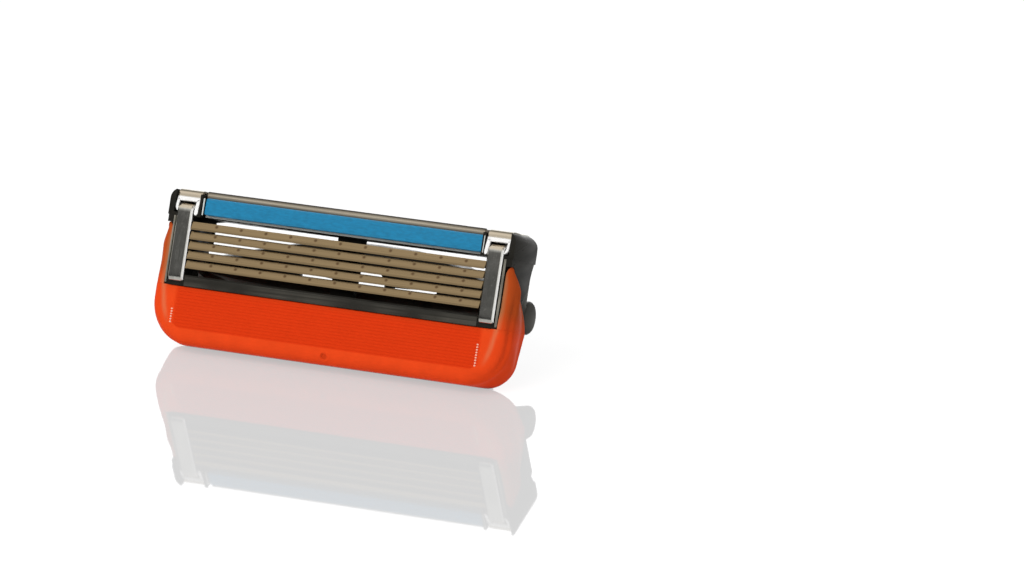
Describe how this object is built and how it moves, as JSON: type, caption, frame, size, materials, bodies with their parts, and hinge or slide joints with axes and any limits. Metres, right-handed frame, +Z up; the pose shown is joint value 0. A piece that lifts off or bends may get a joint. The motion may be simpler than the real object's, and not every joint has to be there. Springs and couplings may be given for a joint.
{
  "type": "razor cartridge",
  "caption": "Razor cartridge: soft guard, sprung blades under end clips, lubricating strip and rear trimmer on a head that pivots on a docking connector.",
  "frame": {"origin": "centre of the footprint, on the surface that the guard's heel and the collar's rim stand on", "axes": "+X along the blades, to the right in the picture; -Y towards the shaver's skin side; +Z up"},
  "size_m": [0.041, 0.0192, 0.0169],
  "materials": {
    "black_plastic": "moulded, slightly glossy",
    "orange_elastomer": "moulded, satin",
    "blue_strip": "extruded, satin",
    "pale_backing": "moulded, satin",
    "blade_steel": "ground and coated",
    "clip_steel": "polished sheet"
  },
  "bodies": {
    "connector": {"connector": "black_plastic"},
    "blade_unit": {"housing": "black_plastic", "guard": "orange_elastomer", "lubricating_strip": "blue_strip", "strip_backing": "pale_backing", "clip_left": "clip_steel", "clip_right": "clip_steel", "trimmer_carrier": "clip_steel", "trimmer_comb": "black_plastic", "trimmer_blade": "clip_steel"},
    "sprung_blade_1": {"blade_1": "blade_steel", "blade_support_1": "blade_steel"},
    "sprung_blade_2": {"blade_2": "blade_steel", "blade_support_2": "blade_steel"},
    "sprung_blade_3": {"blade_3": "blade_steel", "blade_support_3": "blade_steel"},
    "sprung_blade_4": {"blade_4": "blade_steel", "blade_support_4": "blade_steel"},
    "sprung_blade_5": {"blade_5": "blade_steel", "blade_support_5": "blade_steel"}
  },
  "joints": [
    {"name": "head_pivot", "type": "hinge", "parent": "connector", "child": "blade_unit", "pos_m": [0, -0.00364, 0.00927], "axis": [1, 0, 0], "range_deg": [0, 45]},
    {"name": "blade_1_slide", "type": "slide", "parent": "blade_unit", "child": "sprung_blade_1", "axis": [0, 0.9336, -0.3584], "range_m": [0, 0.00025], "stiffness_N_per_m": 300, "springref_m": -0.0005},
    {"name": "blade_2_slide", "type": "slide", "parent": "blade_unit", "child": "sprung_blade_2", "axis": [0, 0.9336, -0.3584], "range_m": [0, 0.00025], "stiffness_N_per_m": 300, "springref_m": -0.0005},
    {"name": "blade_3_slide", "type": "slide", "parent": "blade_unit", "child": "sprung_blade_3", "axis": [0, 0.9336, -0.3584], "range_m": [0, 0.00025], "stiffness_N_per_m": 300, "springref_m": -0.0005},
    {"name": "blade_4_slide", "type": "slide", "parent": "blade_unit", "child": "sprung_blade_4", "axis": [0, 0.9336, -0.3584], "range_m": [0, 0.00025], "stiffness_N_per_m": 300, "springref_m": -0.0005},
    {"name": "blade_5_slide", "type": "slide", "parent": "blade_unit", "child": "sprung_blade_5", "axis": [0, 0.9336, -0.3584], "range_m": [0, 0.00025], "stiffness_N_per_m": 300, "springref_m": -0.0005}
  ]
}
